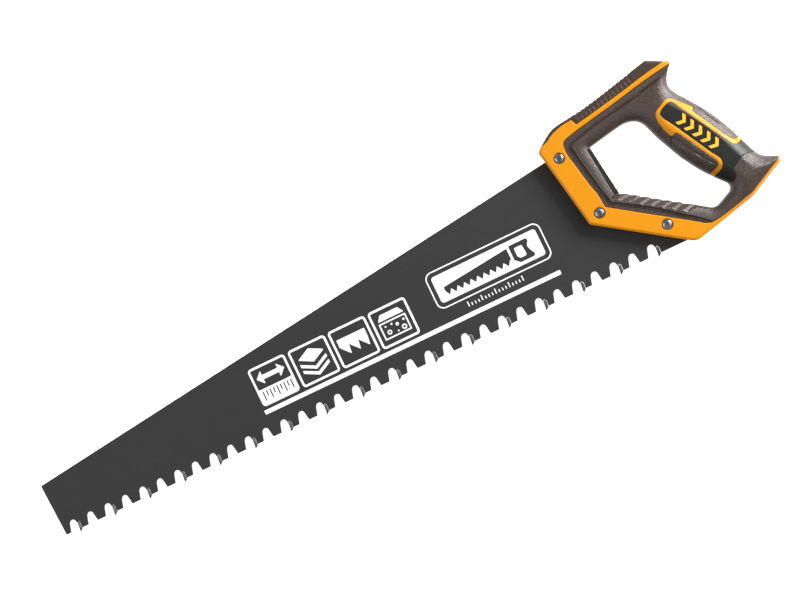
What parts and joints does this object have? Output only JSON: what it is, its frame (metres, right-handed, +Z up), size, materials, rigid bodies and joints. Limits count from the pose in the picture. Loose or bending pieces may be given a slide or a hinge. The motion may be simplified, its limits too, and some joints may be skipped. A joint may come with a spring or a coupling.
{
  "type": "hand saw",
  "caption": "Long hard-tipped hand saw for light concrete, with a closed two-material pistol handle.",
  "frame": {"origin": "middle of the footprint, at the lowest point of the saw as it lies on its side", "axes": "+X along the tooth line from the toe to the handle, +Y from the teeth to the spine, +Z up through the thickness"},
  "size_m": [0.6992, 0.1538, 0.032],
  "materials": {
    "blade_steel": "matt dark coating",
    "carbide": "ground grey",
    "black_core": "satin black",
    "yellow_shell": "satin",
    "yellow_trim": "satin",
    "soft_rubber": "fine leathery grain",
    "pad_rubber": "fine leathery grain",
    "screw_steel": "bright zinc",
    "nut_steel": "bright zinc"
  },
  "bodies": {
    "root": {"blade": "blade_steel", "handle_core": "black_core", "handle_frame": "yellow_shell", "grip_trim": "yellow_trim", "soft_grip": "soft_rubber", "spine_pad": "pad_rubber", "carbide_tip_01": "carbide", "carbide_tip_02": "carbide", "carbide_tip_03": "carbide", "carbide_tip_04": "carbide", "carbide_tip_05": "carbide", "carbide_tip_06": "carbide", "carbide_tip_07": "carbide", "carbide_tip_08": "carbide", "carbide_tip_09": "carbide", "carbide_tip_10": "carbide", "carbide_tip_11": "carbide", "carbide_tip_12": "carbide", "carbide_tip_13": "carbide", "carbide_tip_14": "carbide", "carbide_tip_15": "carbide", "carbide_tip_16": "carbide", "carbide_tip_17": "carbide", "screw_1": "screw_steel", "screw_2": "screw_steel", "screw_3": "screw_steel", "sleeve_nut_1": "nut_steel", "sleeve_nut_2": "nut_steel", "sleeve_nut_3": "nut_steel"}
  },
  "joints": []
}
